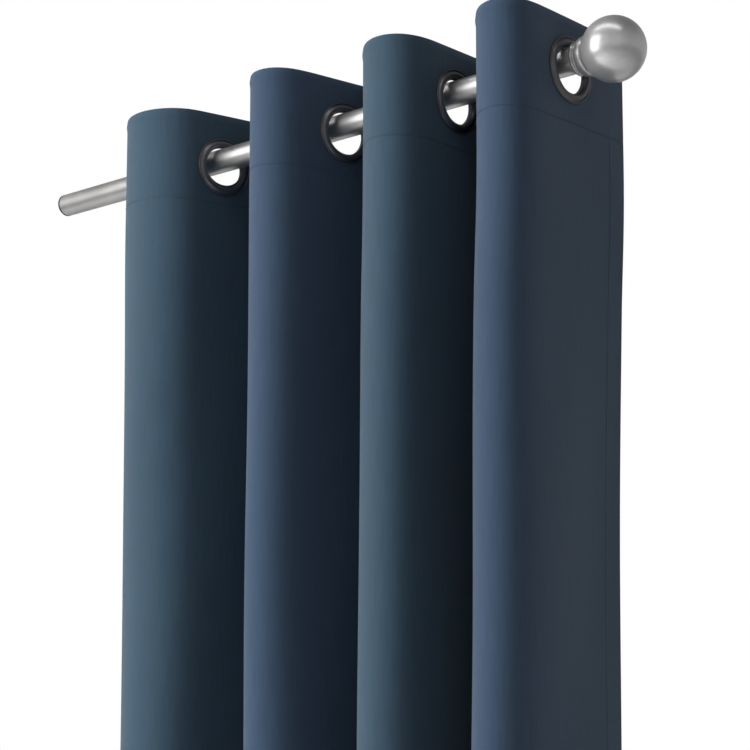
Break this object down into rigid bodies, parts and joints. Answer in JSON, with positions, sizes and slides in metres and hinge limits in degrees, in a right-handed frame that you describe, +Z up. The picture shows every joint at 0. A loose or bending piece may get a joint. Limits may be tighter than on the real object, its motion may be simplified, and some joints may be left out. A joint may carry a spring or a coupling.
{
  "type": "eyelet curtain on rod",
  "caption": "Dark blackout curtain panel hung in deep vertical folds by metal eyelets on a round satin rod, with a ball finial at one end.",
  "frame": {"origin": "on the rod's axis at the middle of the rod tube's length, where a bracket would hold it", "axes": "+X along the rod towards the ball finial, -Y towards the room, +Z up along the hanging cloth"},
  "size_m": [0.8121, 0.1743, 1.83],
  "materials": {
    "cloth": "matte blackout weave, dark slate blue",
    "rod_nickel": "satin nickel",
    "finial_pewter": "satin pewter plating",
    "eyelet_gunmetal": "dark gunmetal, soft gloss",
    "screw_steel": "zinc plated",
    "plug_black": "matte black"
  },
  "bodies": {
    "rod": {"rod_tube": "rod_nickel", "rod_end_plug": "plug_black"},
    "finial": {"finial_collar": "finial_pewter", "finial_ball": "finial_pewter", "finial_stud": "screw_steel"},
    "grub_screw": {"finial_grub_screw": "screw_steel"},
    "eyelet_8": {"eyelet_8_face_ring": "eyelet_gunmetal", "eyelet_8_back_ring": "eyelet_gunmetal", "curtain_flank_8": "cloth", "curtain_front_fold_4": "cloth", "curtain_near_side_hem": "cloth"},
    "eyelet_7": {"eyelet_7_face_ring": "eyelet_gunmetal", "eyelet_7_back_ring": "eyelet_gunmetal", "curtain_flank_7": "cloth", "curtain_back_fold_3": "cloth"},
    "eyelet_6": {"eyelet_6_face_ring": "eyelet_gunmetal", "eyelet_6_back_ring": "eyelet_gunmetal", "curtain_flank_6": "cloth", "curtain_front_fold_3": "cloth"},
    "eyelet_5": {"eyelet_5_face_ring": "eyelet_gunmetal", "eyelet_5_back_ring": "eyelet_gunmetal", "curtain_flank_5": "cloth", "curtain_back_fold_2": "cloth"},
    "eyelet_4": {"eyelet_4_face_ring": "eyelet_gunmetal", "eyelet_4_back_ring": "eyelet_gunmetal", "curtain_flank_4": "cloth", "curtain_front_fold_2": "cloth"},
    "eyelet_3": {"eyelet_3_face_ring": "eyelet_gunmetal", "eyelet_3_back_ring": "eyelet_gunmetal", "curtain_flank_3": "cloth", "curtain_back_fold_1": "cloth"},
    "eyelet_2": {"eyelet_2_face_ring": "eyelet_gunmetal", "eyelet_2_back_ring": "eyelet_gunmetal", "curtain_flank_2": "cloth", "curtain_front_fold_1": "cloth"},
    "eyelet_1": {"eyelet_1_face_ring": "eyelet_gunmetal", "eyelet_1_back_ring": "eyelet_gunmetal", "curtain_flank_1": "cloth", "curtain_far_side_hem": "cloth"}
  },
  "joints": [
    {"name": "finial_slide", "type": "slide", "parent": "rod", "child": "finial", "axis": [1, 0, 0], "range_m": [0, 0.03]},
    {"name": "grub_screw_turn", "type": "hinge", "parent": "finial", "child": "grub_screw", "pos_m": [0.37385, 0, -0.0154], "axis": [0, 0, 1], "continuous": true},
    {"name": "panel_slide", "type": "slide", "parent": "rod", "child": "eyelet_8", "axis": [1, 0, 0], "range_m": [-0.13, 0]},
    {"name": "panel_gather", "type": "slide", "parent": "eyelet_8", "child": "eyelet_7", "axis": [1, 0, 0], "range_m": [0, 0.0285], "deforming": ["curtain_front_fold_4"]},
    {"name": "panel_gather_6", "type": "slide", "parent": "eyelet_7", "child": "eyelet_6", "axis": [1, 0, 0], "range_m": [0, 0.01172], "deforming": ["curtain_back_fold_3"]},
    {"name": "panel_gather_5", "type": "slide", "parent": "eyelet_6", "child": "eyelet_5", "axis": [1, 0, 0], "range_m": [0, 0.03152], "deforming": ["curtain_front_fold_3"]},
    {"name": "panel_gather_4", "type": "slide", "parent": "eyelet_5", "child": "eyelet_4", "axis": [1, 0, 0], "range_m": [0, 0.01262], "deforming": ["curtain_back_fold_2"]},
    {"name": "panel_gather_3", "type": "slide", "parent": "eyelet_4", "child": "eyelet_3", "axis": [1, 0, 0], "range_m": [0, 0.03212], "deforming": ["curtain_front_fold_2"]},
    {"name": "panel_gather_2", "type": "slide", "parent": "eyelet_3", "child": "eyelet_2", "axis": [1, 0, 0], "range_m": [0, 0.02222], "deforming": ["curtain_back_fold_1"]},
    {"name": "panel_gather_1", "type": "slide", "parent": "eyelet_2", "child": "eyelet_1", "axis": [1, 0, 0], "range_m": [0, 0.03872], "deforming": ["curtain_front_fold_1"]}
  ],
  "couplings": [
    {"joint": "panel_gather_6", "follows": "panel_gather", "ratio": 0.41053},
    {"joint": "panel_gather_5", "follows": "panel_gather", "ratio": 1.1053},
    {"joint": "panel_gather_4", "follows": "panel_gather", "ratio": 0.44211},
    {"joint": "panel_gather_3", "follows": "panel_gather", "ratio": 1.1263},
    {"joint": "panel_gather_2", "follows": "panel_gather", "ratio": 0.77895},
    {"joint": "panel_gather_1", "follows": "panel_gather", "ratio": 1.3579}
  ]
}
